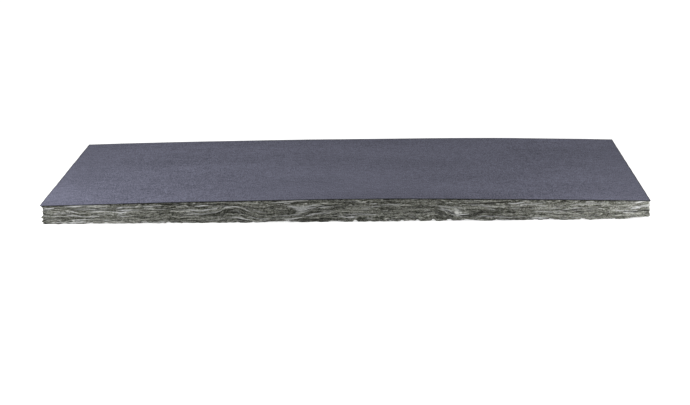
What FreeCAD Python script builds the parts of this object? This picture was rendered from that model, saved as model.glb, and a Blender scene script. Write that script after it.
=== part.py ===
"""Mineral wool facade board with a nonwoven facing, as a parametric FreeCAD document.

The board is a semi-rigid slab of mineral wool with a thin dark fleece bonded to its
weather side. It lies on its wool side: the underside is the face that goes against
the wall, and the fleece on top faces the ventilated gap behind the cladding.

Frame: origin at the centre of the underside, +X along the length, +Y across the width,
+Z out of the facing. Millimetres.

The slab's four sides and its underside are cut flat. Its top recovers a little more
in the middle than at the two cut ends, so it is a shallow arch along the length, and
the fleece follows that arch. The arrises round the underside are rubbed round.
"""
import FreeCAD, Part
import math
import os

import Sketcher
from FreeCAD import Vector

# Driving dimensions, in millimetres: (alias, value, what it is)
DIMENSIONS = [
    ("board_length", 1250.0, "cut length along X"),
    ("board_width", 600.0, "cut width along Y"),
    ("wool_end_thickness", 40.0, "wool thickness at the two cut ends"),
    ("crown_rise", 7.0, "how much thicker the wool is in mid-length"),
    ("arris_radius", 3.0, "rounding of the arrises round the underside"),
    ("facing_thickness", 0.6, "thickness of the fleece"),
]
# The radius of the arc whose chord is the board's length and whose height is the crown.
CROWN_RADIUS = (
    "(Dimensions.board_length ^ 2 / 4 + Dimensions.crown_rise ^ 2) / (2 * Dimensions.crown_rise)"
)
PARTS_FOLDER = "parts"
LEVEL_TOLERANCE = 1e-6

# Sketcher's numbers for a line's or an arc's own points, and for the sketch's origin.
START, END = 1, 2
ORIGIN_POINT = (-1, 1)


def make_sheet(doc):
    """The driving dimensions, each as a plain number in a cell with an alias."""
    sheet = doc.addObject("Spreadsheet::Sheet", "Dimensions")
    for row, (alias, value, meaning) in enumerate(DIMENSIONS, start=1):
        sheet.set(f"A{row}", alias)
        sheet.set(f"B{row}", str(value))
        sheet.setAlias(f"B{row}", alias)
        sheet.set(f"C{row}", meaning)
    doc.recompute()
    return sheet


def make_body(doc, label):
    """An empty body whose label names its file, and a sketch on its lengthwise XZ plane."""
    body = doc.addObject("PartDesign::Body", label)
    body.Label = label
    sketch = body.newObject("Sketcher::SketchObject", f"{label}_section")
    plane = next(o for o in body.Origin.OriginFeatures if o.Role == "XZ_Plane")
    sketch.AttachmentSupport = (plane, "")
    sketch.MapMode = "FlatFace"
    return body, sketch


def crown_arc(sheet, spring_height):
    """An arc over the whole length, from its right foot at spring_height to its left foot."""
    half_length, rise = sheet.board_length / 2, sheet.crown_rise
    radius = (half_length**2 + rise**2) / (2 * rise)
    lean = math.asin(half_length / radius)
    centre = Vector(0, spring_height + rise - radius, 0)
    circle = Part.Circle(centre, Vector(0, 0, 1), radius)
    return Part.ArcOfCircle(circle, math.pi / 2 - lean, math.pi / 2 + lean)


def side_line(x, z_from, z_to):
    """An upright side of a section."""
    return Part.LineSegment(Vector(x, z_from, 0), Vector(x, z_to, 0))


def close_outline(sketch, joints):
    """Joins the outline's pieces end to end: each joint is (piece, point, piece, point)."""
    for joint in joints:
        sketch.addConstraint(Sketcher.Constraint("Coincident", *joint))


def drive(sketch, name, expression, *constraint):
    """Adds a dimension to the sketch and binds it to the sheet."""
    index = sketch.addConstraint(Sketcher.Constraint(*constraint))
    sketch.renameConstraint(index, name)
    sketch.setExpression(f"Constraints.{name}", expression)


def pad_across(body, sketch):
    """The section carried across the whole width, half to each side."""
    pad = body.newObject("PartDesign::Pad", f"{body.Label}_pad")
    pad.Profile = sketch
    pad.SideType = "Symmetric"
    pad.setExpression("Length", "Dimensions.board_width")
    sketch.Visibility = False
    return pad


def draw_slab_section(sketch, sheet):
    """A straight base, two upright ends and the crown arc on top of them."""
    half_length, thickness = sheet.board_length / 2, sheet.wool_end_thickness
    base = sketch.addGeometry(
        Part.LineSegment(Vector(-half_length, 0, 0), Vector(half_length, 0, 0)), False
    )
    right = sketch.addGeometry(side_line(half_length, 0, thickness), False)
    crown = sketch.addGeometry(crown_arc(sheet, thickness), False)
    left = sketch.addGeometry(side_line(-half_length, thickness, 0), False)
    close_outline(
        sketch,
        [
            (base, END, right, START),
            (right, END, crown, START),
            (crown, END, left, START),
            (left, END, base, START),
        ],
    )
    sketch.addConstraint(Sketcher.Constraint("Horizontal", base))
    sketch.addConstraint(Sketcher.Constraint("Vertical", right))
    sketch.addConstraint(Sketcher.Constraint("Vertical", left))
    sketch.addConstraint(Sketcher.Constraint("Equal", right, left))
    sketch.addConstraint(
        Sketcher.Constraint("Symmetric", base, START, base, END, *ORIGIN_POINT)
    )
    drive(
        sketch,
        "cut_length",
        "Dimensions.board_length",
        "DistanceX",
        base,
        START,
        base,
        END,
        sheet.board_length,
    )
    drive(
        sketch,
        "end_thickness",
        "Dimensions.wool_end_thickness",
        "DistanceY",
        right,
        START,
        right,
        END,
        thickness,
    )
    drive(
        sketch,
        "crown_radius",
        CROWN_RADIUS,
        "Radius",
        crown,
        sketch.Geometry[crown].Radius,
    )


def round_underside(body, pad, sheet):
    """Rounds the four arrises round the underside, which are the pad's edges at height 0."""
    names = [
        f"Edge{number}"
        for number, edge in enumerate(pad.Shape.Edges, start=1)
        if edge.BoundBox.ZMax < LEVEL_TOLERANCE
    ]
    fillet = body.newObject("PartDesign::Fillet", f"{body.Label}_arrises")
    fillet.Base = (pad, names)
    fillet.setExpression("Radius", "Dimensions.arris_radius")
    return fillet


def make_wool_slab(doc, sheet):
    """The slab of mineral wool, cut to size, one solid."""
    body, sketch = make_body(doc, "wool_slab")
    draw_slab_section(sketch, sheet)
    pad = pad_across(body, sketch)
    doc.recompute()
    body.Tip = round_underside(body, pad, sheet)
    doc.recompute()
    if not body.Shape.Volume < pad.Shape.Volume:
        raise RuntimeError("the rounding took nothing off the slab")
    return body


def draw_facing_section(sketch, sheet):
    """Two crown arcs, one a fleece's thickness above the other, closed by two short ends."""
    half_length, thickness = sheet.board_length / 2, sheet.facing_thickness
    under = sketch.addGeometry(crown_arc(sheet, 0), False)
    right = sketch.addGeometry(side_line(half_length, 0, thickness), False)
    over = sketch.addGeometry(crown_arc(sheet, thickness), False)
    left = sketch.addGeometry(side_line(-half_length, thickness, 0), False)
    close_outline(
        sketch,
        [
            (under, START, right, START),
            (right, END, over, START),
            (over, END, left, START),
            (left, END, under, END),
        ],
    )
    sketch.addConstraint(Sketcher.Constraint("Vertical", right))
    sketch.addConstraint(Sketcher.Constraint("Vertical", left))
    sketch.addConstraint(Sketcher.Constraint("Equal", right, left))
    sketch.addConstraint(Sketcher.Constraint("Equal", under, over))
    sketch.addConstraint(
        Sketcher.Constraint("Symmetric", under, START, under, END, *ORIGIN_POINT)
    )
    sketch.addConstraint(
        Sketcher.Constraint("Horizontal", under, START, under, END)
    )
    drive(
        sketch,
        "cut_length",
        "Dimensions.board_length",
        "DistanceX",
        under,
        END,
        under,
        START,
        sheet.board_length,
    )
    drive(
        sketch,
        "fleece_thickness",
        "Dimensions.facing_thickness",
        "DistanceY",
        right,
        START,
        right,
        END,
        thickness,
    )
    drive(
        sketch,
        "crown_radius",
        CROWN_RADIUS,
        "Radius",
        under,
        sketch.Geometry[under].Radius,
    )


def make_facing(doc, sheet):
    """The fleece, drawn with its feet at height 0 and placed on top of the wool's ends."""
    body, sketch = make_body(doc, "facing_fleece")
    draw_facing_section(sketch, sheet)
    body.Tip = pad_across(body, sketch)
    body.setExpression("Placement.Base.z", "Dimensions.wool_end_thickness")
    doc.recompute()
    return body


def check_document(doc, bodies):
    """Stops if an object failed to recompute, or a body isn't one valid solid."""
    for item in doc.Objects:
        if {"Invalid", "Error"} & set(item.State):
            raise RuntimeError(f"{item.Label} failed: {item.State}")
    for body in bodies:
        shape = body.Shape
        if shape.isNull() or not shape.isValid() or len(shape.Solids) != 1:
            raise RuntimeError(f"{body.Label} isn't one valid solid")
        print(f"{body.Label}: {shape.Volume / 1e6:.3f} litres, box {shape.BoundBox}")


def main():
    doc = FreeCAD.newDocument("facade_board")
    sheet = make_sheet(doc)
    bodies = [make_wool_slab(doc, sheet), make_facing(doc, sheet)]
    check_document(doc, bodies)
    os.makedirs(PARTS_FOLDER, exist_ok=True)
    for body in bodies:
        body.Shape.exportStep(os.path.join(PARTS_FOLDER, f"{body.Label}.step"))


main()
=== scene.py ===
# %% [markdown]
# # A mineral wool facade board
#
# The object is one board of mineral wool, cut square, with a thin dark fleece bonded to the side
# that faces the weather. The CAD model holds its two pieces at their real size: `wool_slab` and
# `facing_fleece`. This script makes how they look: wool laid down in wavy layers, its sawn sides
# torn into lens-shaped flakes, crevices, loose strands and fine fibres, and the matt fleece on top.

import math

import bpy
import numpy as np
from mathutils import Matrix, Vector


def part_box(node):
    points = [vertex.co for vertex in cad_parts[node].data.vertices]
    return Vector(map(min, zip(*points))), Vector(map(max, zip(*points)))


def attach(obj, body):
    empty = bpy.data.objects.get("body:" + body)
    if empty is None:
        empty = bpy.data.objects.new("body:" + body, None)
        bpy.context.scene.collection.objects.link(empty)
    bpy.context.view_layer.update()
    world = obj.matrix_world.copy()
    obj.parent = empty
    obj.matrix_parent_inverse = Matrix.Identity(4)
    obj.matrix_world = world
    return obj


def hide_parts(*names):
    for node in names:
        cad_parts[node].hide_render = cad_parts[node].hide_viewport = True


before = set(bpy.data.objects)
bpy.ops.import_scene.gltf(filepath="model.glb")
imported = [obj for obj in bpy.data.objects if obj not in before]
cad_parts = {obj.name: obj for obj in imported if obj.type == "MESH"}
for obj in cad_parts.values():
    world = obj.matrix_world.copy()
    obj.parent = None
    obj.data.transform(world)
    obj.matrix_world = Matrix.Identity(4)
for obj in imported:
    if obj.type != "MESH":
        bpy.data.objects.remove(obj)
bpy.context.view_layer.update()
print("CAD nodes:", sorted(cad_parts))

# %% [markdown]
# ## Sizes
#
# Blender works in metres, but a board maker thinks in millimetres. Every shape below is worked
# out in millimetres and turned to metres in one place, where the points go into a mesh. The
# driving sizes are read from the CAD nodes, so the looks follow the construction.

# %% Read the driving sizes from the CAD nodes
MM = 0.001

slab_low, slab_high = (np.array(corner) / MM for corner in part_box("wool_slab"))
fleece_low, fleece_high = (np.array(corner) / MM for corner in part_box("facing_fleece"))
LENGTH, WIDTH = (slab_high - slab_low)[:2]
END_THICKNESS = fleece_low[2]
CROWN = slab_high[2] - END_THICKNESS
FLEECE_THICKNESS = fleece_high[2] - slab_high[2]
PERIMETER = 2 * (LENGTH + WIDTH)
print(f"board {LENGTH:.0f} x {WIDTH:.0f} mm, wool {END_THICKNESS:.1f} mm at the ends,")
print(f"{CROWN:.1f} mm more in the middle, fleece {FLEECE_THICKNESS:.2f} mm")

# %% [markdown]
# ## Random but repeatable
#
# Felt has no straight line in it, so every shape here is stirred with noise. It could come from
# Blender's own displacement textures, but then the layers, the crevices and the loose strands
# could not agree with each other. Instead one gradient noise is written in numpy, with a seed for
# each use, and everything reads the same layers from it.


# %% Noise and easing
NOISE_CELLS = 256  # the noise repeats after so many steps
NOISE_GAIN = 1.5  # brings it to about -1 to 1
FACES_START = 100  # the two faces read it from this many steps on


def ease(low, high, x):
    """0 below low, 1 above high, and 3t^2 - 2t^3 between them."""
    t = np.clip((x - low) / (high - low), 0, 1)
    return t * t * (3 - 2 * t)


def gradient_noise(a, b, seed, wrap=NOISE_CELLS):
    """Smooth noise, about -1 to 1. Each whole-number point of the (a, b) plane gets a random slope.
    Between four such points their sloping planes are blended by 6t^5 - 15t^4 + 10t^3.
    The pattern repeats after wrap steps of a."""
    turn = np.random.default_rng(seed).uniform(0, 2 * np.pi, (wrap, NOISE_CELLS))
    slope_a, slope_b = np.cos(turn), np.sin(turn)
    a, b = np.broadcast_arrays(a, b)
    cell_a, cell_b = np.floor(a).astype(int), np.floor(b).astype(int)
    part_a, part_b = a - cell_a, b - cell_b
    mix_a, mix_b = (t**3 * (t * (6 * t - 15) + 10) for t in (part_a, part_b))

    def plane(step_a, step_b):
        """The sloping plane of one corner of each point's cell."""
        i, j = (cell_a + step_a) % wrap, (cell_b + step_b) % NOISE_CELLS
        return slope_a[i, j] * (part_a - step_a) + slope_b[i, j] * (part_b - step_b)

    near = plane(0, 0) * (1 - mix_a) + plane(1, 0) * mix_a
    far = plane(0, 1) * (1 - mix_a) + plane(1, 1) * mix_a
    return NOISE_GAIN * (near * (1 - mix_b) + far * mix_b)


def side_noise(u, v, along, across, seed):
    """Noise on the sawn sides, u mm round the board and v mm up, with grains of along x across mm.
    It closes on itself after one turn round the board."""
    cells = max(1, round(PERIMETER / along))
    return gradient_noise(u * cells / PERIMETER, v / across, seed, wrap=cells)


def flat_noise(x, y, along, across, seed):
    """Noise on the two faces, with grains of along x across mm."""
    return gradient_noise(x / along + FACES_START, y / across + FACES_START, seed)


def patches(u, v, along, across, seed, start, full):
    """Patches on the sawn sides: 0 where the noise is below start, 1 where it is above full."""
    return ease(start, full, side_noise(u, v, along, across, seed))


both_ends = side_noise(np.array([0.0, PERIMETER]), END_THICKNESS / 2, along=90, across=5, seed=1)
print("noise closes after one turn:", np.allclose(*both_ends))

# %% [markdown]
# ## The lie of the wool
#
# The wool leaves the spinner as a thin veil, which is folded over itself and pressed. The sawn
# side shows the folds as long, flat, wavy layers. `layer_rise` says how far the layer through a
# point has wandered up or down, so that height plus rise is the same all along one layer.
# Noise that is read at (distance, height + rise) then follows the layers by itself.
#
# A grain of noise is written as its length and height in millimetres and its seed. Patches have
# two more numbers: where in the noise they start, and where they are full.

# %% Grains of the layers
LONG_WAVES, FOLDS, RIPPLES = (180, 42, 11), (72, 27, 12), (25, 10, 13)
WAVE_HEIGHTS = (7.5, 9.0, 2.0)  # of those three
FOLDED = (240, 90, 14, -0.25, 0.45)
LEAST_FOLD, MORE_FOLD = 0.25, 1.1  # share of the folds outside such a patch, and more within it
CALM_DEPTH, CALMEST = 9, 0.45  # within this depth of a pressed face the waves fall to this share
LARGE_FLAKES, MIDDLE_FLAKES, SMALL_FLAKES = (120, 8.5, 21), (48, 4.4, 22), (16, 2.3, 23)
CREVICES_OPEN, CRACKS_OPEN = (110, 13, 31, -0.35, 0.5), (60, 9, 32, 0.0, 0.6)
CREVICE_WIDTH, CRACK_WIDTH = 0.085, 0.10  # in the flakes' noise
CRACK_SHARE = 0.75  # a crack's depth next to a crevice's
PALE_AREAS, PALE_WISPS = (190, 13, 41, -0.05, 0.5), (52, 3.0, 42, 0.05, 0.5)
PALE_THREADS = (30, 1.7, 43, 0.38, 0.75)
WISP_SHARE, THREAD_SHARE = 1.2, 0.6
BUNDLES, STRANDS, BROAD_SHADES = (11, 1.8, 51), (6, 1.4, 52), (260, 16, 53)
MEAN_TONE = 0.31
TONE_SHARES = (0.22, 0.28, 0.34, 0.38, 0.40, 0.16)  # large, middle, small, bundle, strand, broad


# %% Layers, flakes, crevices and pale streaks
def thickness(x):
    """Wool thickness at x: an arch over the length, whose height falls off with x squared."""
    return END_THICKNESS + CROWN * (1 - (2 * x / LENGTH) ** 2)


def layer_rise(u, v):
    """Waves of three lengths, which calm down towards the two pressed faces. The middle ones are
    folds, which are steep only in places."""
    deep = ease(0, CALM_DEPTH, v) * ease(0, CALM_DEPTH, END_THICKNESS - v)
    calm = CALMEST + (1 - CALMEST) * deep
    folded = LEAST_FOLD + MORE_FOLD * patches(u, v, *FOLDED)
    long, middle, short = WAVE_HEIGHTS
    waves = long * side_noise(u, v, *LONG_WAVES)
    waves = waves + middle * folded * side_noise(u, v, *FOLDS)
    waves = waves + short * side_noise(u, v, *RIPPLES)
    return calm * waves


def flakes(u, layer):
    """Three sizes of lens-shaped flake. Each edge is where the noise passes through zero."""
    return [side_noise(u, layer, *size) for size in (LARGE_FLAKES, MIDDLE_FLAKES, SMALL_FLAKES)]


def crevices(u, layer, large, middle):
    """1 in the gaps between flakes and 0 elsewhere. The gaps open only in places."""
    gap = np.exp(-((large / CREVICE_WIDTH) ** 2)) * patches(u, layer, *CREVICES_OPEN)
    crack = np.exp(-((middle / CRACK_WIDTH) ** 2)) * patches(u, layer, *CRACKS_OPEN)
    return np.clip(gap + CRACK_SHARE * crack, 0, 1)


def pale_streaks(u, layer):
    """1 where the wool is loose and pale: thin wisps, which come in patches."""
    area, wisp = patches(u, layer, *PALE_AREAS), patches(u, layer, *PALE_WISPS)
    return np.clip(WISP_SHARE * area * wisp + THREAD_SHARE * patches(u, layer, *PALE_THREADS), 0, 1)


def tone(u, layer, large, middle, small):
    """How light the grey is, 0 to 1. Flakes differ from each other, and fibre bundles within them."""
    finer = [side_noise(u, layer, *grain) for grain in (BUNDLES, STRANDS, BROAD_SHADES)]
    parts = zip(TONE_SHARES, (large, middle, small, *finer))
    return np.clip(MEAN_TONE + sum(share * part for share, part in parts), 0, 1)


# %% [markdown]
# ## How far the sides stand in and out
#
# A saw leaves mineral wool roughly flat, and handling tears it. Flakes bulge, crevices sink, and
# one end of this board has lost whole shreds. `relief` gives the distance from the ideal side,
# negative inwards. A flake bulges as the root of its noise, so that it meets its neighbour in a
# sharp crease and not in a smooth wave.

# %% Relief of the sawn sides, in millimetres
LEFT_END_AT = 2 * LENGTH + 1.5 * WIDTH
RIGHT_END_AT = LENGTH + 0.5 * WIDTH
FLAKE_BULGES = (1.68, 1.04, 0.56)  # of large, middle and small flakes
MEAN_BULGE = 2.08
CREVICE_DEPTH = 1.36
SWEEP, SWEEP_OUT = (300, 60, 61), 0.64  # the saw's path wandered
FUZZ, FUZZ_OUT = (11, 1.6, 62), 0.36
SHREDS, RAGS, RAG_SHARE = (110, 9, 63), (24, 5, 64), 0.5
TORN_DEPTH, SHRED_DEPTH, LEAST_SHRED = 3.0, 6.0, -0.2
TORN_PAST_CORNER = 30  # how far round the corners the torn end reaches
NOTCHES, NOTCHED_FROM, NOTCH_DEPTH = (60, 9, 1152), -0.12, 13.0
NOTCHES_PAST_CORNER = 60
CORNER_LOSS, CORNER_REACH, TORN_CORNER_REACH = 1.4, 4.0, 13.0


def near_end(u, centre, reach):
    """1 at a short end's middle, falling to 0 at reach mm from it, measured round the board."""
    away = np.abs((u - centre + PERIMETER / 2) % PERIMETER - PERIMETER / 2)
    return 1 - ease(WIDTH / 2, reach, away)


def relief(u, v, large, middle, small, crevice):
    """Millimetres outwards: bulging flakes less the crevices, and torn shreds at the left end."""
    bulges = zip(FLAKE_BULGES, (large, middle, small))
    bulge = sum(out * np.sqrt(np.abs(part)) for out, part in bulges) - MEAN_BULGE
    wave = SWEEP_OUT * side_noise(u, v, *SWEEP) + FUZZ_OUT * side_noise(u, v, *FUZZ)
    shreds = side_noise(u, v, *SHREDS) + RAG_SHARE * side_noise(u, v, *RAGS)
    lost = SHRED_DEPTH * np.maximum(shreds, LEAST_SHRED) + TORN_DEPTH
    torn = near_end(u, LEFT_END_AT, WIDTH / 2 + TORN_PAST_CORNER) * lost
    return bulge + wave - CREVICE_DEPTH * crevice - torn


def corner_loss(u, v):
    """How far a corner is rubbed back, in millimetres: a bell curve of the distance to the corner.
    The two left corners are torn in notches."""
    left = near_end(u, LEFT_END_AT, WIDTH / 2 + NOTCHES_PAST_CORNER)
    notches = np.maximum(0, side_noise(u, v, *NOTCHES) - NOTCHED_FROM)
    reach = CORNER_REACH + TORN_CORNER_REACH * left
    return (CORNER_LOSS + NOTCH_DEPTH * left * notches) * np.exp(-((to_corner(u) / reach) ** 2))


# %% [markdown]
# ## The slab as one closed skin
#
# A profile runs from a little way in under the board, round the rubbed lower arris, up the sawn
# side and a little way in under the fleece. It is carried round the rectangle, which makes one
# fine band of faces. The large flat faces need no such detail. Each is a coarse grid, four times
# wider, sewn to the band by a ring of triangles, so that the skin is closed and still light.

# %% Outline of the board
STEP = 2.5
FINE_LONG = round(LENGTH / STEP)
FINE_SHORT = round(WIDTH / STEP)
FINE_ROUND = 2 * (FINE_LONG + FINE_SHORT)
CORNERS_U = np.cumsum([0, LENGTH, WIDTH, LENGTH, WIDTH])
CORNERS_X = np.array([-1, 1, 1, -1, -1]) * LENGTH / 2
CORNERS_Y = np.array([-1, -1, 1, 1, -1]) * WIDTH / 2
TURNING = 22.0  # outward directions turn over this length each side of a corner


def outline(u):
    """Point at distance u round the rectangle, anticlockwise from the front left corner, and the
    outward direction there, which turns by a right angle round each corner."""
    u = np.asarray(u) % PERIMETER
    x, y = np.interp(u, CORNERS_U, CORNERS_X), np.interp(u, CORNERS_U, CORNERS_Y)
    turns = sum(ease(c - TURNING, c + TURNING, u) for c in CORNERS_U) - 1
    angle = (turns - 1) * np.pi / 2
    return x, y, np.cos(angle), np.sin(angle)


def to_corner(u):
    """Distance from u to the nearest corner of the outline."""
    u = np.asarray(u) % PERIMETER
    return np.min([np.abs(u - c) for c in CORNERS_U], axis=0)


print(f"outline of {FINE_ROUND} steps of {STEP} mm")

# %% Heights of the upper and lower faces
SWELLS = (  # where the wool has recovered most: place, reach along X and Y, and height
    ((330.0, 300.0), (170.0, 260.0), 1.8),
    ((40.0, -300.0), (270.0, 260.0), 2.0),
)
BROAD_BUMPS, BROAD_BUMP_HEIGHT = (210, 150, 71), 0.35
SMALL_BUMPS, SMALL_BUMP_HEIGHT = (70, 55, 72), 0.15
TUCK = 0.1  # the wool stops this far under the fleece
MEAN_HOLLOW = 0.6  # of the underside's hollows, which come in two sizes
HOLLOWS, HOLLOW_DEPTH = (60, 40, 73), 0.7
DENTS, DENT_DEPTH = (25, 18, 74), 0.4
HOLLOWS_FULL_AT = 30  # how far in from the outline the hollows reach their depth
RIM_FADES = (4, 34)  # between these distances the underside leaves the ragged rim's height
WORN_HEIGHT, WORN_PAST_CORNER = 4.8, 120  # at the right end
MEAN_RIM = 0.7
RIM_WEAR, RIM_WEAR_HEIGHT = (90, 1, 75), 3.6
RIM_WAVES, RIM_WAVE_HEIGHT = (31, 1, 76), 1.9
RIM_FRAY, RIM_FRAY_HEIGHT = (11, 1, 77), 1.1
RIM_NOTCHES, RIM_NOTCHED_FROM, RIM_NOTCH_HEIGHT = (16, 1, 78), 0.32, 11.0


def upper_height(x, y):
    """Where the fleece's lower side lies: the crown, two broad swells and faint unevenness."""
    height = thickness(np.clip(x, -LENGTH / 2, LENGTH / 2))
    for (at_x, at_y), (reach_x, reach_y), rise in SWELLS:
        height = height + rise * np.exp(-(((x - at_x) / reach_x) ** 2) - ((y - at_y) / reach_y) ** 2)
    height = height + BROAD_BUMP_HEIGHT * flat_noise(x, y, *BROAD_BUMPS)
    return height + SMALL_BUMP_HEIGHT * flat_noise(x, y, *SMALL_BUMPS)


def lower_height(x, y):
    """The underside: it rests on many low bumps, with shallow hollows up to 1.5 mm between them."""
    hollow = MEAN_HOLLOW + HOLLOW_DEPTH * flat_noise(x, y, *HOLLOWS)
    hollow = np.maximum(hollow + DENT_DEPTH * flat_noise(x, y, *DENTS), 0)
    from_left, from_front = x + LENGTH / 2, y + WIDTH / 2
    insets = (from_front, LENGTH - from_left, WIDTH - from_front, from_left)
    sides_u = (from_left, LENGTH + from_front, 2 * LENGTH + WIDTH - from_left, PERIMETER - from_front)
    nearest = np.argmin(insets, axis=0)
    u, inset = np.choose(nearest, sides_u), np.choose(nearest, insets)
    return hollow * ease(0, HOLLOWS_FULL_AT, inset) + lower_rim(u) * (1 - ease(*RIM_FADES, inset))


def lower_rim(u):
    """Height of the ragged lower edge. It is worn away most at the right end."""
    worn = WORN_HEIGHT * near_end(u, RIGHT_END_AT, WIDTH / 2 + WORN_PAST_CORNER) ** 2
    wear = RIM_WEAR_HEIGHT * np.maximum(0, side_noise(u, 0, *RIM_WEAR))
    ragged = wear + RIM_WAVE_HEIGHT * side_noise(u, 0, *RIM_WAVES)
    notch = RIM_NOTCH_HEIGHT * np.maximum(0, side_noise(u, 0, *RIM_NOTCHES) - RIM_NOTCHED_FROM)
    fray = RIM_FRAY_HEIGHT * side_noise(u, 0, *RIM_FRAY)
    return np.maximum(0, MEAN_RIM + worn + ragged + notch + fray)


# %% The band round the board
FACE_ROWS = 46
ARRIS = 3.0
UNDER_INSETS = (9.0, 6.0, 4.2)  # how far in the rows under the board lie
OVER_INSETS = (2.4, 6.0)  # and those under the fleece
FLEECE_OVERHANG = 0.9
PROUD = 1.2  # the skin stands out no further than this
GRIP = 2.4  # over this height next to the fleece the wool is held by it
GRIP_FLATTENS, GRIP_INSET, GRIP_SHADE = 0.6, 0.7, 0.9  # flatter and further in there, and darkened by painted shade under the fleece
NEAR_CORNER_REACH = 280.0  # within this distance of a corner the sides get lighter
# how much lighter the grey is near a corner: partly paler wool, partly painted light, as the lamps at
# the ends light them more
PALER_AND_LIT_NEAR_CORNERS = 0.19
PALE_AWAY_FROM_CORNERS = 0.7  # how pale the streaks away from the corners are, next to those at them


def side_grid():
    """The band's points and what each knows of its layer, as arrays of rows x steps round."""
    u = np.arange(FINE_ROUND) * STEP
    up = np.linspace(0, 1, FACE_ROWS)[:, None]
    x, y, out_x, out_y = outline(u)
    rim, top = lower_rim(u), upper_height(x, y) - TUCK
    z = rim + up * (top - rim)
    rise = layer_rise(u, z)
    layer = z + rise
    large, middle, small = flakes(u, layer)
    crevice = crevices(u, layer, large, middle)
    stand_out = relief(u, z, large, middle, small, crevice)
    below = np.clip(ARRIS - (z - rim), 0, ARRIS)
    stand_out = stand_out - (ARRIS - np.sqrt(ARRIS**2 - below**2))
    grip = ease(GRIP, 0, top - z)
    stand_out = stand_out * (1 - GRIP_FLATTENS * grip) - GRIP_INSET * grip
    stand_out = np.minimum(stand_out, PROUD) - FLEECE_OVERHANG - corner_loss(u, z)
    near_corner = 1 - ease(0, NEAR_CORNER_REACH, to_corner(u))
    grid = {
        "u": u + 0 * z,
        "x": x + out_x * stand_out,
        "y": y + out_y * stand_out,
        "z": z,
        "rise": rise,
        # near the corners the grey is lifted: partly paler wool, partly painted light
        "tone": np.clip(tone(u, layer, large, middle, small) + PALER_AND_LIT_NEAR_CORNERS * near_corner, 0, 1),
        "pale": pale_streaks(u, layer) * (PALE_AWAY_FROM_CORNERS + (1 - PALE_AWAY_FROM_CORNERS) * near_corner),
        # painted shade: crevices and the wool under the fleece are darkened in colour as well as sunk or
        # drawn in
        "crevice": np.maximum(crevice, GRIP_SHADE * grip),
    }
    return grid, stand_out


side, side_relief = side_grid()
print(f"relief of the sides: {side_relief.min():.1f} to {side_relief.max():.1f} mm")


# %% Rows that turn in under the board and under the fleece
UNDER_RISE = 0.3  # the rows under the board lie at most this far above its lower edge


def turned_in(row, insets, height):
    """Rows that repeat one row of the band, further in and at the height of a face."""
    x, y, out_x, out_y = outline(side["u"][0])
    inset = np.array(insets)[:, None]
    rows = {name: np.repeat(side[name][row][None], len(insets), 0) for name in side}
    rows["x"], rows["y"] = x - out_x * inset, y - out_y * inset
    rows["z"] = height(rows["x"], rows["y"])
    return rows


under_rows = turned_in(0, UNDER_INSETS, lower_height)
over_rows = turned_in(-1, OVER_INSETS, lambda x, y: upper_height(x, y) - TUCK)
under_rows["z"] = np.minimum(under_rows["z"], side["z"][0] + UNDER_RISE)
band = {n: np.vstack([under_rows[n], side[n], over_rows[n]]) for n in side}
print("band:", band["z"].shape[0], "rows of", band["z"].shape[1])

# %% The two flat faces, four times coarser
COARSE = 4
CAP_INSET = 14.0
FACE_MOTTLE, FACE_CLOUDS, FACE_WISPS, FACE_GAPS = (45, 24, 81), (160, 90, 82), (70, 22, 83), (40, 20, 84)
FACE_TONE, MOTTLE_SHARE, CLOUD_SHARE = 0.5, 0.3, 0.2
WISPS_SHOW, GAPS_SHOW, GAP_SHADE = (0.3, 0.8), (0.35, 0.8), 0.5


def cap_grid(height):
    """A grid over a face, inset from the outline, as columns along X and rows along Y."""
    along = np.linspace(-1, 1, FINE_LONG // COARSE + 1) * (LENGTH / 2 - CAP_INSET)
    across = np.linspace(-1, 1, FINE_SHORT // COARSE + 1) * (WIDTH / 2 - CAP_INSET)
    x, y = np.meshgrid(along, across)
    grey = FACE_TONE + MOTTLE_SHARE * flat_noise(x, y, *FACE_MOTTLE)
    grey = grey + CLOUD_SHARE * flat_noise(x, y, *FACE_CLOUDS)
    return {
        "x": x,
        "y": y,
        "z": height(x, y),
        "rise": 0 * x,
        "tone": np.clip(grey, 0, 1),
        "pale": ease(*WISPS_SHOW, flat_noise(x, y, *FACE_WISPS)),
        # painted shade: patches of the flat faces darkened as gaps, which are not sunk
        "crevice": GAP_SHADE * ease(*GAPS_SHOW, flat_noise(x, y, *FACE_GAPS)),
    }


def border_of(rows, columns):
    """Point numbers round a grid's border, anticlockwise from its first corner."""
    number = np.arange(rows * columns).reshape(rows, columns)
    return np.concatenate(
        [number[0, :-1], number[:-1, -1], number[-1, :0:-1], number[:0:-1, 0]]
    )


def band_faces(rows, columns):
    """Quads between neighbouring rows of a band that closes on itself."""
    number = np.arange(rows * columns).reshape(rows, columns)
    ahead = np.roll(number, -1, axis=1)
    return np.stack([number[:-1], ahead[:-1], ahead[1:], number[1:]], -1).reshape(-1, 4)


def sheet_faces(rows, columns):
    """Quads of an open grid, facing up."""
    number = np.arange(rows * columns).reshape(rows, columns)
    corners = [number[:-1, :-1], number[:-1, 1:], number[1:, 1:], number[1:, :-1]]
    return np.stack(corners, -1).reshape(-1, 4)


def sewn_ring(outer, inner):
    """Triangles, facing up, between an outer ring and an inner one with a quarter as many points:
    each inner point gets a fan of four outer edges, and one more triangle bridges to the next."""
    hub = np.arange(len(inner))
    fans = []
    for step in range(-COARSE // 2, COARSE // 2):
        start = (COARSE * hub + step) % len(outer)
        fans.append(np.stack([outer[start], outer[(start + 1) % len(outer)], inner], -1))
    bridge = outer[(COARSE * hub + COARSE // 2) % len(outer)]
    fans.append(np.stack([bridge, np.roll(inner, -1), inner], -1))
    return np.concatenate(fans)


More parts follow.
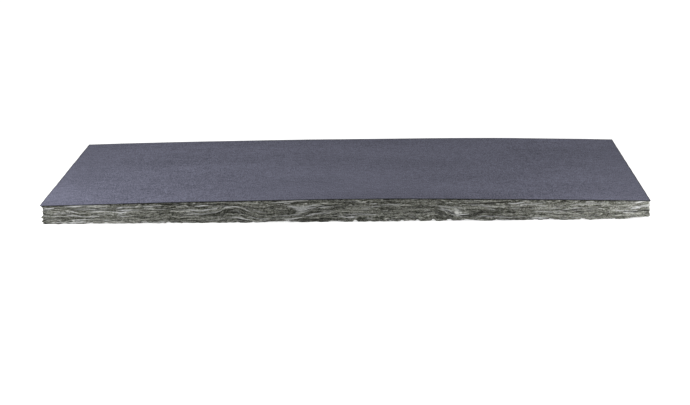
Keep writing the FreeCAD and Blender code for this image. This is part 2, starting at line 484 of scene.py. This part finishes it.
# %% Put a shape into a mesh
def make_piece(name, points, faces, smooth=True):
    """A mesh object from points in millimetres and lists of faces, at the origin."""
    mesh = bpy.data.meshes.new(name)
    corners = [corner for block in faces for corner in block.tolist()]
    mesh.from_pydata((points * MM).tolist(), [], corners)
    mesh.polygons.foreach_set("use_smooth", np.full(len(mesh.polygons), smooth))
    mesh.update()
    piece = bpy.data.objects.new(name, mesh)
    bpy.context.scene.collection.objects.link(piece)
    return piece


def store(piece, **values):
    """Keeps a number for each point of the mesh, under its name, for the material to read."""
    for name, value in values.items():
        attribute = piece.data.attributes.new(name, "FLOAT", "POINT")
        attribute.data.foreach_set("value", np.asarray(value, np.float32).ravel())


def triangles_in(piece):
    """How many triangles the piece comes to."""
    return sum(len(p.vertices) - 2 for p in piece.data.polygons)


# %% Sew the slab together
LAY = ("rise", "tone", "pale", "crevice")


def make_slab():
    """Band, underside and upper side as one closed mesh."""
    under, over = cap_grid(lower_height), cap_grid(lambda x, y: upper_height(x, y) - TUCK)
    parts = (band, under, over)
    points = np.concatenate(
        [np.stack([p["x"].ravel(), p["y"].ravel(), p["z"].ravel()], -1) for p in parts]
    )
    points[:, 2] -= points[:, 2].min()
    rows, columns = band["z"].shape
    first_under, first_over = rows * columns, rows * columns + under["z"].size
    border = border_of(*under["z"].shape)
    caps = sheet_faces(*under["z"].shape)
    lowest, highest = np.arange(columns), (rows - 1) * columns + np.arange(columns)
    faces = [
        band_faces(rows, columns),
        sewn_ring(lowest, first_under + border)[:, ::-1],
        (first_under + caps)[:, ::-1],
        sewn_ring(highest, first_over + border),
        first_over + caps,
    ]
    slab = make_piece("wool_slab_felt", points, faces)
    store(slab, **{n: np.concatenate([p[n].ravel() for p in parts]) for n in LAY})
    return slab


slab = make_slab()
print("slab:", triangles_in(slab), "triangles")

# %% [markdown]
# ## Flakes that have come loose
#
# A skin that is only pushed in and out has no undercuts, and torn felt is full of them. So flat
# lenses of wool are laid along the layers, half sunk in the skin. Each is a spindle: its height
# and depth follow (1 - s^2) to a power, from one pointed end to the other, and its middle line
# keeps to one layer. All of them are worked out at once, as arrays of flake x station x side.


# %% Spindles laid along the layers
def relief_at(u, v):
    """The band's relief at any point, read from its grid."""
    x, y, _, _ = outline(u)
    rim, top = lower_rim(u), upper_height(x, y) - TUCK
    row = np.clip((v - rim) / (top - rim), 0, 1) * (FACE_ROWS - 1)
    return side_relief[np.rint(row).astype(int), np.rint(u / STEP).astype(int) % FINE_ROUND]


def spindle_faces(count, stations, sides):
    """Faces of count spindles: rings of sides points, and a pole at each pointed end."""
    rings = band_faces(stations, sides)
    ring = np.arange(sides)
    ahead = (ring + 1) % sides
    last = (stations - 1) * sides
    poles = stations * sides
    start = np.stack([np.full(sides, poles), ahead, ring], -1)
    end = np.stack([np.full(sides, poles + 1), last + ring, last + ahead], -1)
    each = poles + 2
    shift = (np.arange(count) * each)[:, None, None]
    return [(b[None] + shift).reshape(-1, b.shape[1])[:, ::-1] for b in (rings, start, end)]


def with_poles(rings, poles):
    """Points of every spindle in turn: its rings, then its two poles."""
    count = rings.shape[0]
    return np.concatenate([rings.reshape(count, -1, 3), poles], axis=1).reshape(-1, 3)


print("one spindle of 10 rings and 6 sides:", sum(map(len, spindle_faces(1, 10, 6))), "faces")

# %% Loose flakes
FLAKES = 1300
FLAKE_RINGS, FLAKE_SIDES = 10, 6
FLAKE_TIP = 0.985  # the outermost ring, where the tip is 1
FLAKE_LOGS = (3.65, 0.5), (0.75, 0.35)  # mean and spread of the logarithms of length and height
FLAKE_LENGTHS, FLAKE_HEIGHTS, FLAKE_DEPTHS = (14, 120), (1.2, 4.2), (0.7, 1.7)
FLAKE_MARGIN = 2.5  # from the board's faces
FLAKE_BLUNT = 0.55  # the power of (1 - s^2)
FLAKE_WIGGLE, WIGGLE_SHARE = (17, 6, 91), 0.25
LEVEL_SHARE = 0.2  # how far a flake bridges the hollows that it lies over
FLAKE_OUT, FLAKE_SUNK = 0.15, -0.2
FLAKE_GREY, FLAKE_GREYS = (0.52, 0.15), (0.1, 0.95)
PALE_FLAKES, PALE_FLAKE_SHADES = 0.13, (0.35, 0.95)
# painted shade along a loose flake's upper and lower edges and at its two tips
FLAKE_EDGE_SHADE, FLAKE_POLE_SHADE = 0.45, 0.3
ROOM = 0.3  # loose pieces keep this far off the edges


def make_flakes(seed=201):
    """Flat lenses of felt that follow the layers and stand a little out of the sawn sides."""
    rng = np.random.default_rng(seed)
    u0 = rng.uniform(0, PERIMETER, FLAKES)
    x0, y0, _, _ = outline(u0)
    top = upper_height(x0, y0) - TUCK
    v0 = FLAKE_MARGIN + rng.uniform(0, 1, FLAKES) * (top - 2 * FLAKE_MARGIN)
    length = np.clip(rng.lognormal(*FLAKE_LOGS[0], FLAKES), *FLAKE_LENGTHS)
    height = np.clip(rng.lognormal(*FLAKE_LOGS[1], FLAKES), *FLAKE_HEIGHTS)
    depth = rng.uniform(*FLAKE_DEPTHS, FLAKES)
    along = np.linspace(-FLAKE_TIP, FLAKE_TIP, FLAKE_RINGS)[None, :, None]
    turn = np.linspace(0, 2 * np.pi, FLAKE_SIDES, endpoint=False)[None, None, :]
    col = (slice(None), None, None)

    def placed(s, height_share, depth_share):
        """Points at s along each flake, off its middle line by shares of its height and depth."""
        u = u0[col] + s * length[col] / 2
        v = v0[col] + layer_rise(u0, v0)[col] - layer_rise(u, v0[col])
        v = v + WIGGLE_SHARE * height[col] * side_noise(u, v, *FLAKE_WIGGLE)
        base = relief_at(u, v)
        level = base.mean(axis=1, keepdims=True)
        rise = layer_rise(u, v)
        bed = (1 - LEVEL_SHARE) * base + LEVEL_SHARE * level + FLAKE_OUT
        out = np.minimum(bed, FLAKE_SUNK) + depth[col] * depth_share
        x, y, out_x, out_y = outline(u)
        room = height[col] / 2 + ROOM
        v = np.clip(v, lower_rim(u) + room, upper_height(x, y) - TUCK - room)
        v = v + height[col] / 2 * height_share
        return np.stack(np.broadcast_arrays(x + out_x * out, y + out_y * out, v), -1), rise

    full = (1 - along**2) ** FLAKE_BLUNT
    rings, ring_rise = placed(along, full * np.sin(turn), full * np.cos(turn))
    poles, pole_rise = placed(np.array([-1.0, 1.0])[None, :, None], 0, 0)
    points = with_poles(rings, poles[:, :, 0])
    piece = make_piece("loose_flakes", points, spindle_faces(FLAKES, FLAKE_RINGS, FLAKE_SIDES))
    each = FLAKE_RINGS * FLAKE_SIDES + 2
    ring_rise = np.broadcast_to(ring_rise, rings.shape[:3]).reshape(FLAKES, -1)
    # painted shade: 1 along a flake's upper and lower edge, 0 across its face
    edge_shade = np.broadcast_to(np.abs(np.sin(turn)) ** 2, rings.shape[:3]).reshape(FLAKES, -1)
    grey = np.clip(rng.normal(*FLAKE_GREY, FLAKES), *FLAKE_GREYS)
    is_pale = rng.uniform(size=FLAKES) < PALE_FLAKES
    pale = np.where(is_pale, rng.uniform(*PALE_FLAKE_SHADES, FLAKES), 0)
    store(
        piece,
        rise=np.hstack([ring_rise, pole_rise.reshape(FLAKES, 2)]),
        tone=np.repeat(grey, each),
        pale=np.repeat(pale, each),
        crevice=np.hstack([FLAKE_EDGE_SHADE * edge_shade, np.full((FLAKES, 2), FLAKE_POLE_SHADE)]),
    )
    return piece


loose_flakes = make_flakes()
print("loose flakes:", triangles_in(loose_flakes), "triangles")

# %% [markdown]
# ## Fibres and tufts
#
# One mineral fibre is a few thousandths of a millimetre thick and can't be seen. What shows is
# wisps of them, so each strand here stands for a wisp. Strands are three-sided tubes that taper
# to a point and run along the layers, with one end lifted out. Tufts are bundles of the same
# strands that spring from one spot, like those that hang from a sawn edge.


# %% Strands
STRAND_RINGS, STRAND_SIDES = 6, 3
STRAND_ENDS = (0.02, 0.97)  # the first and the last ring
STRAND_TAPER = 0.75  # how much thinner the tip is
STRAND_WIGGLE, STRAND_WIGGLE_HEIGHT = (5, 3, 92), 0.4
ROOT_SHARE = 0.3  # how much of the skin's depth at its root a strand keeps all along
ROOT_SUNK, STRAND_BOW = 0.2, 0.35
OFF_FLOOR = 0.5


def strand_shapes(rng, count, runs, climbs, lifts, radii):
    """Draws strands: how far each runs to either side, climbs and lifts off, and its radius."""
    run = rng.choice([-1, 1], count) * rng.uniform(*runs, count)
    return run, rng.normal(*climbs, count), rng.gamma(*lifts, count), rng.uniform(*radii, count)


def make_strands(name, u0, v0, shapes, grey, pale, hang=ROOM):
    """Tapered curved tubes. Along one, s goes from 0 at the root to 1 at the tip: the middle line
    runs run*s along the side, climbs climb*s^1.5 and lifts off it by lift*s^2. It hangs no lower
    than hang mm under the ragged edge, and never below the floor."""
    run, climb, lift, radius = shapes
    count = len(u0)
    s = np.linspace(*STRAND_ENDS, STRAND_RINGS)[None, :, None]
    col = (slice(None), None, None)
    turn = np.linspace(0, 2 * np.pi, STRAND_SIDES, endpoint=False)[None, None, :]
    turn = turn * np.sign(run)[col]  # so that faces point out whichever way a strand runs
    root = relief_at(u0, v0)

    def placed(s, up, across):
        """Points at s along each strand, off its middle line by shares of its radius."""
        u = u0[col] + run[col] * s
        v = v0[col] + layer_rise(u0, v0)[col] - layer_rise(u, v0[col])
        v = v + climb[col] * s**1.5 + STRAND_WIGGLE_HEIGHT * side_noise(u, v, *STRAND_WIGGLE)
        skin = ROOT_SHARE * root[col] + (1 - ROOT_SHARE) * relief_at(u, v)
        out = skin - ROOT_SUNK + lift[col] * s**2 + STRAND_BOW * np.sin(np.pi * s)
        x, y, out_x, out_y = outline(u)
        v = np.maximum(v, np.maximum(lower_rim(u) - hang, OFF_FLOOR)) + radius[col] * up
        out = out + radius[col] * across
        return np.stack(np.broadcast_arrays(x + out_x * out, y + out_y * out, v), -1)

    thin = 1 - STRAND_TAPER * s
    rings = placed(s, thin * np.sin(turn), thin * np.cos(turn))
    poles = placed(np.array([0.0, 1.0])[None, :, None], 0, 0)[:, :, 0]
    faces = spindle_faces(count, STRAND_RINGS, STRAND_SIDES)
    piece = make_piece(name, with_poles(rings, poles), faces)
    each = STRAND_RINGS * STRAND_SIDES + 2
    none = np.zeros(count * each)
    store(piece, rise=none, crevice=none, tone=np.repeat(grey, each), pale=np.repeat(pale, each))
    return piece


FIBRES = 3600
FIBRE_SHAPES = {"runs": (6, 30), "climbs": (0, 1.8), "lifts": (1.2, 0.6), "radii": (0.10, 0.26)}
FIBRE_MARGINS = (1.5, 1.0)  # below and above
FIBRE_GREY, FIBRE_GREYS = (0.62, 0.16), (0.1, 1)
PALE_FIBRES, PALE_FIBRE_SHADES = 0.25, (0.3, 1)


def make_fibres(seed=301):
    """Wisps all over the sawn sides."""
    rng = np.random.default_rng(seed)
    u0 = rng.uniform(0, PERIMETER, FIBRES)
    v0 = rng.uniform(FIBRE_MARGINS[0], END_THICKNESS - FIBRE_MARGINS[1], FIBRES)
    shapes = strand_shapes(rng, FIBRES, **FIBRE_SHAPES)
    grey = np.clip(rng.normal(*FIBRE_GREY, FIBRES), *FIBRE_GREYS)
    is_pale = rng.uniform(size=FIBRES) < PALE_FIBRES
    pale = np.where(is_pale, rng.uniform(*PALE_FIBRE_SHADES, FIBRES), 0)
    return make_strands("loose_fibres", u0, v0, shapes, grey, pale)


TUFTS = 34
STRANDS_PER_TUFT = 34
TUFT_SHAPES = {"runs": (2, 9), "climbs": (-0.8, 2.0), "lifts": (1.5, 0.9), "radii": (0.16, 0.34)}
LOW_TUFTS, LOW_LEVELS, OTHER_MARGINS = 0.7, (1, 5), (6, 4)  # most spring from the lower edge
TUFT_WIDTH, TUFT_HEIGHT = 2.6, 1.0  # the spread of a tuft's roots
LOWEST_ROOT = 0.4
TUFT_GREY, TUFT_PALE = (0.8, 0.1), (0.75, 0.2)
TUFT_HANG = 3.0


def make_tufts(seed=401):
    """Small pale bundles, most of them along the lower edge."""
    rng = np.random.default_rng(seed)
    spot = rng.uniform(0, PERIMETER, TUFTS)
    is_low = rng.uniform(size=TUFTS) < LOW_TUFTS
    low = rng.uniform(*LOW_LEVELS, TUFTS)
    other = rng.uniform(OTHER_MARGINS[0], END_THICKNESS - OTHER_MARGINS[1], TUFTS)
    count = TUFTS * STRANDS_PER_TUFT
    u0 = np.repeat(spot, STRANDS_PER_TUFT) + rng.normal(0, TUFT_WIDTH, count)
    level = np.repeat(np.where(is_low, low, other), STRANDS_PER_TUFT)
    v0 = np.clip(level + rng.normal(0, TUFT_HEIGHT, count), LOWEST_ROOT, END_THICKNESS)
    shapes = strand_shapes(rng, count, **TUFT_SHAPES)
    grey = np.clip(rng.normal(*TUFT_GREY, count), 0, 1)
    pale = np.clip(rng.normal(*TUFT_PALE, count), 0, 1)
    return make_strands("tufts", u0, v0, shapes, grey, pale, hang=TUFT_HANG)


loose_fibres = make_fibres()
tufts = make_tufts()
print("fibres:", triangles_in(loose_fibres), "and tufts:", triangles_in(tufts), "triangles")

# %% [markdown]
# ## The fleece
#
# The facing is a nonwoven: short fibres laid down flat and bonded, stiff as thick paper. It was
# stuck to the wool before the board was cut, so it has no hem and its edge is a plain cut. It
# could be simulated cloth, but it can't move, because it is glued down all over. So it is a thin
# closed sheet over the wool's own upper surface, with a slightly wandering cut edge.


# %% Fleece sheet
FLEECE_STEP = 5.0
EDGE_LINES = np.array([0, 0.7, 1.6, 3.0])  # extra grid lines next to the cut, from the edge in
EDGE_WANDER, WANDER_FADES = 0.45, 12  # how far the cut wanders, and where that has died away
END_CUTS, SIDE_CUTS = (34, 1, 101), (41, 1, 102)
CUTS_APART = 30  # so that opposite edges wander differently
EDGE_DROP = 0.2  # the shears press the outermost line down
# the dark cut and its painted shade fade out over the top between these distances from the edge
CUT_AND_SHADE_SHOWS = (0.6, 3.2)


def lines_across(span):
    """Grid lines from -span/2 to span/2, evenly spaced but closer together along both edges."""
    inner = span / 2 - FLEECE_STEP
    even = np.linspace(-inner, inner, round(2 * inner / FLEECE_STEP) + 1)
    return np.concatenate([-span / 2 + EDGE_LINES, even, (span / 2 - EDGE_LINES)[::-1]])


def make_fleece():
    """Two like grids, one a fleece's thickness above the other, joined round their borders."""
    x, y = np.meshgrid(lines_across(LENGTH), lines_across(WIDTH))
    edge_x, edge_y = LENGTH / 2 - np.abs(x), WIDTH / 2 - np.abs(y)
    wander_x = EDGE_WANDER * flat_noise(y, np.sign(x) * CUTS_APART, *END_CUTS)
    wander_y = EDGE_WANDER * flat_noise(x, np.sign(y) * CUTS_APART, *SIDE_CUTS)
    cut_x = x + wander_x * (1 - ease(0, WANDER_FADES, edge_x))
    cut_y = y + wander_y * (1 - ease(0, WANDER_FADES, edge_y))
    height = upper_height(x, y)
    from_edge = np.minimum(edge_x, edge_y)
    lower = np.stack([cut_x, cut_y, height], -1).reshape(-1, 3)
    upper = lower + [0, 0, FLEECE_THICKNESS]
    upper[:, 2] -= EDGE_DROP * (from_edge.ravel() < EDGE_LINES[1] / 2)
    rows, columns = x.shape
    border = border_of(rows, columns)
    ahead = np.roll(border, -1)
    count = rows * columns
    faces = [
        sheet_faces(rows, columns)[:, ::-1],
        count + sheet_faces(rows, columns),
        np.stack([border, ahead, count + ahead, count + border], -1),
    ]
    piece = make_piece("fleece_sheet", np.concatenate([lower, upper]), faces)
    # dark along the cut and over the whole underside: partly the cut's own dark edge, partly painted
    # shade
    cut = 1 - ease(*CUT_AND_SHADE_SHOWS, from_edge)
    store(piece, cut=np.concatenate([np.ones(count), cut.ravel()]))
    return piece


fleece = make_fleece()
print("fleece:", triangles_in(fleece), "triangles")

# %% [markdown]
# ## Materials
#
# Colours are written as sRGB hex values, which is how a maker matches them, and one function
# turns them linear. One more function adds a node with its settings and links.


# %% Colour and node helpers
def linear(hex_colour):
    """An sRGB hex value such as #6b6c64 as linear red, green, blue and full alpha."""
    parts = [int(hex_colour[i : i + 2], 16) / 255 for i in (1, 3, 5)]
    return [c / 12.92 if c <= 0.04045 else ((c + 0.055) / 1.055) ** 2.4 for c in parts] + [1.0]


def add_node(tree, kind, sockets=(), **settings):
    """Adds a node: settings are its own properties, and sockets its inputs by name or number,
    each a plain value or another node's output."""
    made = tree.nodes.new(kind)
    for name, value in settings.items():
        setattr(made, name, value)
    for name, value in dict(sockets).items():
        if isinstance(value, bpy.types.NodeSocket):
            tree.links.new(value, made.inputs[name])
        else:
            made.inputs[name].default_value = value
    return made


def new_material(name, finish):
    """A material with only a Principled shader in it, whose sockets get the finish's values."""
    material = bpy.data.materials.new(name)
    material.use_nodes = True
    tree = material.node_tree
    tree.nodes.clear()
    shader = add_node(tree, "ShaderNodeBsdfPrincipled", finish)
    add_node(tree, "ShaderNodeOutputMaterial", {"Surface": shader.outputs[0]})
    return material, tree, shader


# %% [markdown]
# ### Mineral wool
#
# Stone wool is spun from molten rock, so its fibres are glassy but far too fine to shine, and the
# felt is quite matt. The binder gives it an olive grey. Where the layers are loose there is more
# air than binder, and the wisps look paler and bluish. The layers' own numbers, stored in the
# mesh, choose the grey, and two fine noises stretched along the layers add the fibres.

# %% Mineral wool, spun and pressed
FIBRE_GRAIN = (5.0, 1.6)  # wisps of fibre, mm long and thick: coarser than life, so that they show
SPECK_GRAIN = (2.2, 1.4)
WOOL_GREYS = {0.0: "#242520", 0.3: "#52534a", 0.52: "#7b7c73", 0.75: "#a1a29a", 1.0: "#cdcec8"}
LOOSE_WOOL = "#e2e3e4"
# painted shade: the colour that crevices, the wool under the fleece, the faces' gaps and loose flakes'
# edges are darkened towards, and how far
CREVICE_SHADE_COLOUR = "#1b1a17"
CREVICE_SHADE_SHARE = 0.88
FINE_CONTRAST = 1.6
WISPS_LOOSEN = (1.6, 0.1)  # the fibres' noise times the first plus the second is how loose they are
WOOL_BUMP = {"Strength": 0.6, "Distance": 0.8 * MM}
WOOL_FINISH = {
    "Roughness": 0.95,
    "Specular IOR Level": 0.2,
    "Sheen Weight": 0.12,
    "Sheen Roughness": 0.6,
}


def layered_noise(tree, place, grain, detail):
    """Noise whose grains lie flat: grain is their length and thickness in millimetres."""
    flat, thick = 1 / (grain[0] * MM), 1 / (grain[1] * MM)
    scaled = add_node(tree, "ShaderNodeMapping", {"Vector": place, "Scale": (flat, flat, thick)})
    sockets = {"Vector": scaled.outputs[0], "Scale": 1.0, "Detail": detail, "Roughness": 0.6}
    return add_node(tree, "ShaderNodeTexNoise", sockets).outputs["Fac"]


def make_wool_material():
    """Grey from the layers' tone and two fine noises, paler where loose, with painted shade in the
    crevices.
    """
    material, tree, shader = new_material("mineral_wool_spun_and_pressed", WOOL_FINISH)
    known = {n: add_node(tree, "ShaderNodeAttribute", attribute_name=n).outputs["Fac"] for n in LAY}
    place = add_node(tree, "ShaderNodeTexCoord").outputs["Object"]
    rise = add_node(tree, "ShaderNodeMath", {0: known["rise"], 1: MM}, operation="MULTIPLY")
    lifted = add_node(tree, "ShaderNodeCombineXYZ", {"Z": rise.outputs[0]})
    layer = add_node(tree, "ShaderNodeVectorMath", {0: place, 1: lifted.outputs[0]}).outputs[0]
    fibres = layered_noise(tree, layer, FIBRE_GRAIN, detail=5.0)
    specks = layered_noise(tree, layer, SPECK_GRAIN, detail=4.0)

    both = add_node(tree, "ShaderNodeMath", {0: fibres, 1: specks}, operation="ADD").outputs[0]
    sockets = {0: both, 1: FINE_CONTRAST, 2: -FINE_CONTRAST}
    fine = add_node(tree, "ShaderNodeMath", sockets, operation="MULTIPLY_ADD").outputs[0]
    grey = add_node(tree, "ShaderNodeMath", {0: known["tone"], 1: fine}).outputs[0]
    ramp = add_node(tree, "ShaderNodeValToRGB", {"Fac": grey})
    stops = ramp.color_ramp.elements
    stops[0].color, stops[1].color = linear(WOOL_GREYS[0.0]), linear(WOOL_GREYS[1.0])
    for at in sorted(WOOL_GREYS)[1:-1]:
        stops.new(at).color = linear(WOOL_GREYS[at])

    sockets = {0: fibres, 1: WISPS_LOOSEN[0], 2: WISPS_LOOSEN[1]}
    wispy = add_node(tree, "ShaderNodeMath", sockets, operation="MULTIPLY_ADD").outputs[0]
    loose = add_node(tree, "ShaderNodeMath", {0: wispy, 1: known["pale"]}, operation="MULTIPLY")
    sockets = {0: loose.outputs[0], 6: ramp.outputs[0], 7: linear(LOOSE_WOOL)}
    felt = add_node(tree, "ShaderNodeMix", sockets, data_type="RGBA").outputs[2]
    # painted shade: the crevice mask darkens the felt towards the crevice colour
    sockets = {0: known["crevice"], 1: CREVICE_SHADE_SHARE}
    deep = add_node(tree, "ShaderNodeMath", sockets, operation="MULTIPLY").outputs[0]
    sockets = {0: deep, 6: felt, 7: linear(CREVICE_SHADE_COLOUR)}
    colour = add_node(tree, "ShaderNodeMix", sockets, data_type="RGBA").outputs[2]
    tree.links.new(colour, shader.inputs["Base Color"])

    bump = add_node(tree, "ShaderNodeBump", {"Height": both, **WOOL_BUMP})
    tree.links.new(bump.outputs[0], shader.inputs["Normal"])
    return material


wool = make_wool_material()
print("wool nodes:", len(wool.node_tree.nodes))

# %% [markdown]
# ### Nonwoven fleece
#
# The fleece is black glass or polyester fibre, which looks slate grey in strong light because
# its thousands of fibre backs each scatter a little. The fibres lie mostly along the roll, so
# the surface shows faint short streaks lengthwise, and a broad cloudiness where the veil was
# laid thicker. The cut edge is darker, partly for the fibres' ends that show there and partly
# as painted shade, the shadow line under the edge, which also darkens the sheet's underside.

# %% Nonwoven fleece, laid and bonded
STREAK_GRAIN = (20.0, 7.5)  # fibre bundles, mm along X and Y: coarser than life, so that they show
FLECK_GRAIN = (1.8, 6.5)
CLOUD_GRAIN = (240.0, 120.0)
FLECK_WEIGHT, CLOUD_WEIGHT = 3.0, 0.6  # where a streak's is 1
GREYS_SPAN = {"From Min": 1.68, "From Max": 2.92}
GRAIN_DEPTH = 10.0  # upwards the fleece's grain is this thick, so that its crown doesn't cut it
FLEECE_GREYS = ("#414250", "#77788b")
# the colour of the cut's dark edge and of the painted shade along it and under the sheet
FLEECE_CUT_AND_SHADE = "#26262b"
FLEECE_BUMP = {"Strength": 0.35, "Distance": 0.3 * MM}
FLEECE_FINISH = {
    "Roughness": 0.9,
    "Specular IOR Level": 0.15,
    "Sheen Weight": 0.03,
    "Sheen Roughness": 0.5,
}


def flat_grain_noise(tree, place, grain, detail):
    """Noise on the fleece: grain is the length along X and the width along Y, in millimetres."""
    scale = (1 / (grain[0] * MM), 1 / (grain[1] * MM), 1 / (GRAIN_DEPTH * MM))
    scaled = add_node(tree, "ShaderNodeMapping", {"Vector": place, "Scale": scale})
    sockets = {"Vector": scaled.outputs[0], "Scale": 1.0, "Detail": detail, "Roughness": 0.55}
    return add_node(tree, "ShaderNodeTexNoise", sockets).outputs["Fac"]


def make_fleece_material():
    """Slate grey from flecks, streaks and clouds of fibre, and nearly black along the cut, partly as
    painted shade.
    """
    material, tree, shader = new_material("nonwoven_fleece_laid_and_bonded", FLEECE_FINISH)
    place = add_node(tree, "ShaderNodeTexCoord").outputs["Object"]
    streaks = flat_grain_noise(tree, place, STREAK_GRAIN, detail=2.0)
    flecks = flat_grain_noise(tree, place, FLECK_GRAIN, detail=2.0)
    clouds = flat_grain_noise(tree, place, CLOUD_GRAIN, detail=1.0)
    sockets = {0: flecks, 1: FLECK_WEIGHT, 2: streaks}
    fine = add_node(tree, "ShaderNodeMath", sockets, operation="MULTIPLY_ADD").outputs[0]
    sockets = {0: clouds, 1: CLOUD_WEIGHT, 2: fine}
    grain = add_node(tree, "ShaderNodeMath", sockets, operation="MULTIPLY_ADD").outputs[0]
    level = add_node(tree, "ShaderNodeMapRange", {"Value": grain, **GREYS_SPAN}).outputs[0]
    sockets = {0: level, 6: linear(FLEECE_GREYS[0]), 7: linear(FLEECE_GREYS[1])}
    face = add_node(tree, "ShaderNodeMix", sockets, data_type="RGBA").outputs[2]
    # partly painted shade: the cut and the underside are darkened
    cut = add_node(tree, "ShaderNodeAttribute", attribute_name="cut").outputs["Fac"]
    sockets = {0: cut, 6: face, 7: linear(FLEECE_CUT_AND_SHADE)}
    colour = add_node(tree, "ShaderNodeMix", sockets, data_type="RGBA").outputs[2]
    tree.links.new(colour, shader.inputs["Base Color"])
    bump = add_node(tree, "ShaderNodeBump", {"Height": fine, **FLEECE_BUMP})
    tree.links.new(bump.outputs[0], shader.inputs["Normal"])
    return material


fleece_finish = make_fleece_material()

# %% [markdown]
# ## Everything rides on the one body
#
# The board has no joints, so every piece rides on `root`. The felt stands in for the CAD slab and
# the sheet for the CAD fleece, which are only hidden.

# %% Ride and replace
for piece in (slab, loose_flakes, loose_fibres, tufts):
    piece.data.materials.append(wool)
    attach(piece, "root")
fleece.data.materials.append(fleece_finish)
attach(fleece, "root")
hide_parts("wool_slab")
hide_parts("facing_fleece")

# %% [markdown]
# ## Floor, light and camera
#
# The board lies on a plain white floor under an even white sky. Small soft boxes stand close to
# its left and right ends, because there the fleece and the sawn side are lighter than in the
# middle. The floor keeps its real shadow, and only the camera sees it brighter, so that it is white.

# %% White floor and world
FLOOR_SIZE = 60.0
FLOOR_WHITE = "#f4f4f4"
FLOOR_LIFT = 0.72  # brightness that only the camera sees
FLOOR_FINISH = {"Roughness": 1.0, "Specular IOR Level": 0.0, "Emission Color": (1, 1, 1, 1)}
WORLD_LIGHT = 0.36


def make_floor():
    """A white sheet of floor, which the camera sees brighter than it is lit."""
    points = np.array([[-1, -1, 0], [1, -1, 0], [1, 1, 0], [-1, 1, 0]]) * FLOOR_SIZE / 2 / MM
    floor = make_piece("floor", points, [np.array([[0, 1, 2, 3]])], smooth=False)
    material, tree, shader = new_material("white_floor", FLOOR_FINISH)
    shader.inputs["Base Color"].default_value = linear(FLOOR_WHITE)
    seen = add_node(tree, "ShaderNodeLightPath").outputs["Is Camera Ray"]
    lift = add_node(tree, "ShaderNodeMath", {0: seen, 1: FLOOR_LIFT}, operation="MULTIPLY")
    tree.links.new(lift.outputs[0], shader.inputs["Emission Strength"])
    floor.data.materials.append(material)


def make_world():
    """An even white sky, which looks pure white whatever light it gives."""
    world = bpy.data.worlds.new("studio")
    world.use_nodes = True
    tree = world.node_tree
    tree.nodes.clear()
    rays = add_node(tree, "ShaderNodeLightPath").outputs
    seen = add_node(tree, "ShaderNodeMath", {0: rays["Is Camera Ray"], 1: rays["Is Glossy Ray"]})
    seen = add_node(
        tree, "ShaderNodeMath", {0: seen.outputs[0], 1: rays["Is Transmission Ray"]}, use_clamp=True
    )
    lit = add_node(tree, "ShaderNodeBackground", {"Color": (1, 1, 1, 1), "Strength": WORLD_LIGHT})
    white = add_node(tree, "ShaderNodeBackground", {"Color": (1, 1, 1, 1), "Strength": 1.0})
    sockets = {0: seen.outputs[0], 1: lit.outputs[0], 2: white.outputs[0]}
    mixed = add_node(tree, "ShaderNodeMixShader", sockets)
    add_node(tree, "ShaderNodeOutputWorld", {"Surface": mixed.outputs[0]})
    bpy.context.scene.world = world


make_floor()
make_world()

# %% Soft boxes
SOFT_BOXES = (  # name, place in metres, size in metres, watts
    ("left_box", (-0.86, -0.42, 0.56), 0.3, 5.0),
    ("right_box", (1.3, -0.6, 0.5), 0.5, 4.8),
    ("right_low_box", (0.95, -0.8, 0.2), 0.3, 2.7),
)


def aimed(place, target=(0, 0, 0)):
    """The matrix that puts something at place with its -Z towards target."""
    direction = Matrix.Translation(target).translation - Matrix.Translation(place).translation
    turned = direction.to_track_quat("-Z", "Y").to_matrix().to_4x4()
    return Matrix.Translation(place) @ turned


for name, place, size, watts in SOFT_BOXES:
    lamp = bpy.data.lights.new(name, "AREA")
    lamp.shape, lamp.size, lamp.energy = "SQUARE", size, watts
    box = bpy.data.objects.new(name, lamp)
    box.matrix_world = aimed(place)
    box.visible_camera = False
    bpy.context.scene.collection.objects.link(box)
print("lamps:", [name for name, *_ in SOFT_BOXES])

# %% Camera
EYE = (0.092, -3.604, 0.873)  # metres
YAW, PITCH, ROLL = 1.54, 14.11, -0.886  # degrees: turned left, tilted down, leaning
LENS, SENSOR = 87.1, 36.0  # millimetres: a long lens
CLIP = (0.05, 100.0)


def make_camera():
    """A camera at EYE, turned by YAW, then tilted down by PITCH and leaning by ROLL."""
    camera = bpy.data.cameras.new("camera")
    camera.lens, camera.sensor_width = LENS, SENSOR
    camera.clip_start, camera.clip_end = CLIP
    holder = bpy.data.objects.new("camera", camera)
    turned = Matrix.Rotation(math.radians(YAW), 4, "Z")
    tilted = Matrix.Rotation(math.radians(90 - PITCH), 4, "X")
    leaning = Matrix.Rotation(math.radians(ROLL), 4, "Z")
    holder.matrix_world = Matrix.Translation(EYE) @ turned @ tilted @ leaning
    bpy.context.scene.collection.objects.link(holder)
    bpy.context.scene.camera = holder


make_camera()
bpy.context.scene.view_settings.view_transform = "Standard"
